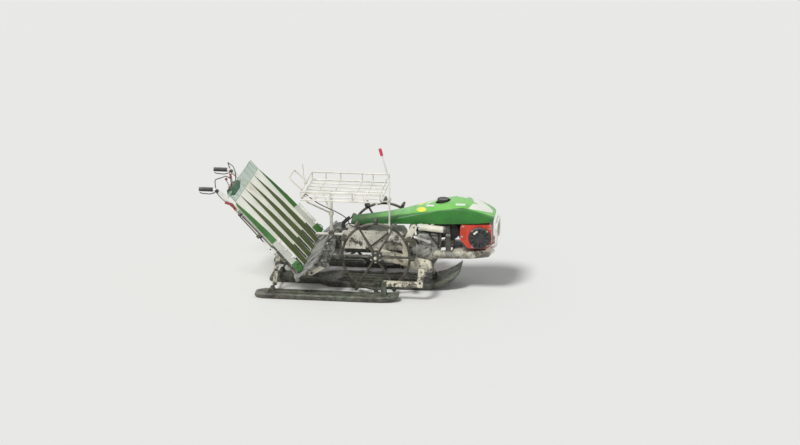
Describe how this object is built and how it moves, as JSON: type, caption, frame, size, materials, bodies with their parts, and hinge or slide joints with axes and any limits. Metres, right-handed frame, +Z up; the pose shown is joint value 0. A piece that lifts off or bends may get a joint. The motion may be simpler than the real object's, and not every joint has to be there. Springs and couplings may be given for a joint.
{
  "type": "rice transplanter",
  "caption": "Walk-behind rice transplanter with a sloping sliding seedling tray, planting arms, lugged wheels on lifting arms, floats and a hinged bonnet.",
  "frame": {"origin": "on the ground under the middle of the machine's box", "axes": "+X forward, +Y to the left, +Z up"},
  "size_m": [2.48, 1.116, 1.2372],
  "materials": {
    "cream_paint": "satin, mud splashed",
    "white_paint": "satin",
    "grey_casting": "satin, dusty",
    "green_plastic": "gloss",
    "fence_green": "satin",
    "net_green": "matt",
    "lane_white": "satin, stained",
    "orange_paint": "gloss",
    "black_plastic": "matt",
    "engine_metal": "cast, oily",
    "hot_metal": "matt black",
    "steel": "dull",
    "wheel_mud": "wet mud over steel",
    "lug_rubber": "muddy",
    "float_grey": "muddy",
    "lever_red": "satin",
    "tip_red": "gloss"
  },
  "bodies": {
    "chassis": {"front_frame": "cream_paint", "front_guard": "white_paint", "gearbox": "grey_casting", "rear_case": "cream_paint", "planting_beam": "grey_casting", "planting_cases": "grey_casting", "engine": "engine_metal", "fan_housing": "orange_paint", "recoil_cover": "black_plastic", "recoil_grip": "white_paint", "muffler": "hot_metal", "air_cleaner": "black_plastic", "belt_cover": "black_plastic", "fuel_tank": "black_plastic", "fuel_cap": "black_plastic", "cover_stays": "black_plastic", "outriggers": "cream_paint", "middle_float": "float_grey", "side_floats": "float_grey", "float_shaft": "steel", "guide_rail": "steel", "handle_frame": "cream_paint", "handlebars": "white_paint", "grips": "black_plastic", "console": "black_plastic", "clutch_levers": "lever_red", "rack": "cream_paint", "rack_gate": "white_paint", "rack_column": "cream_paint", "sight_pole": "white_paint", "pole_tip": "tip_red", "control_cables": "black_plastic"},
    "swing_right": {"swing_case_right": "cream_paint"},
    "swing_left": {"swing_case_left": "cream_paint"},
    "wheel_right": {"rim_right": "wheel_mud", "lugs_right": "lug_rubber"},
    "wheel_left": {"rim_left": "wheel_mud", "lugs_left": "lug_rubber"},
    "cylinder_right": {"lift_cylinder_right": "cream_paint"},
    "cylinder_left": {"lift_cylinder_left": "cream_paint"},
    "piston_right": {"lift_rod_right": "steel"},
    "piston_left": {"lift_rod_left": "steel"},
    "bonnet": {"bonnet": "green_plastic", "bonnet_hinge": "black_plastic"},
    "tray": {"tray_floor": "lane_white", "tray_fences": "fence_green", "tray_net": "net_green"},
    "cranks": {"planting_cranks": "steel"},
    "arms": {"planting_arms": "grey_casting"}
  },
  "joints": [
    {"name": "lower_right", "type": "hinge", "parent": "chassis", "child": "swing_right", "pos_m": [0.65, -0.206, 0.235], "axis": [0, -1, 0], "range_deg": [0, 35]},
    {"name": "roll_right", "type": "hinge", "parent": "swing_right", "child": "wheel_right", "pos_m": [0.24088, -0.3, 0.33], "axis": [0, 1, 0], "continuous": true},
    {"name": "tilt_right", "type": "hinge", "parent": "chassis", "child": "cylinder_right", "pos_m": [0.829, -0.197, 0.551], "axis": [0, -1, 0], "range_deg": [0, 16.88]},
    {"name": "extend_right", "type": "slide", "parent": "cylinder_right", "child": "piston_right", "axis": [-0.9966, 0, 0.0822], "range_m": [0, 0.1874]},
    {"name": "lower_left", "type": "hinge", "parent": "chassis", "child": "swing_left", "pos_m": [0.65, 0.206, 0.235], "axis": [0, -1, 0], "range_deg": [0, 35]},
    {"name": "roll_left", "type": "hinge", "parent": "swing_left", "child": "wheel_left", "pos_m": [0.24088, 0.3, 0.33], "axis": [0, 1, 0], "continuous": true},
    {"name": "tilt_left", "type": "hinge", "parent": "chassis", "child": "cylinder_left", "pos_m": [0.829, 0.197, 0.551], "axis": [0, -1, 0], "range_deg": [0, 16.88]},
    {"name": "extend_left", "type": "slide", "parent": "cylinder_left", "child": "piston_left", "axis": [-0.9966, 0, 0.0822], "range_m": [0, 0.1874]},
    {"name": "open_bonnet", "type": "hinge", "parent": "chassis", "child": "bonnet", "pos_m": [0.056, 0, 0.536], "axis": [0, -1, 0], "range_deg": [0, 25]},
    {"name": "slide_tray", "type": "slide", "parent": "chassis", "child": "tray", "axis": [0, 1, 0], "range_m": [-0.082, 0.082]},
    {"name": "turn_cranks", "type": "hinge", "parent": "chassis", "child": "cranks", "pos_m": [-0.178, 0, 0.29], "axis": [0, 1, 0], "continuous": true},
    {"name": "carry_arms", "type": "hinge", "parent": "cranks", "child": "arms", "pos_m": [-0.16103, 0, 0.27303], "axis": [0, 1, 0], "continuous": true}
  ],
  "couplings": [
    {"joint": "tilt_right", "follows": "lower_right", "ratio": 0.4736},
    {"joint": "extend_right", "follows": "lower_right", "m_per_rad": 0.3034},
    {"joint": "tilt_left", "follows": "lower_left", "ratio": 0.4736},
    {"joint": "extend_left", "follows": "lower_left", "m_per_rad": 0.3034},
    {"joint": "carry_arms", "follows": "turn_cranks", "ratio": -1}
  ]
}
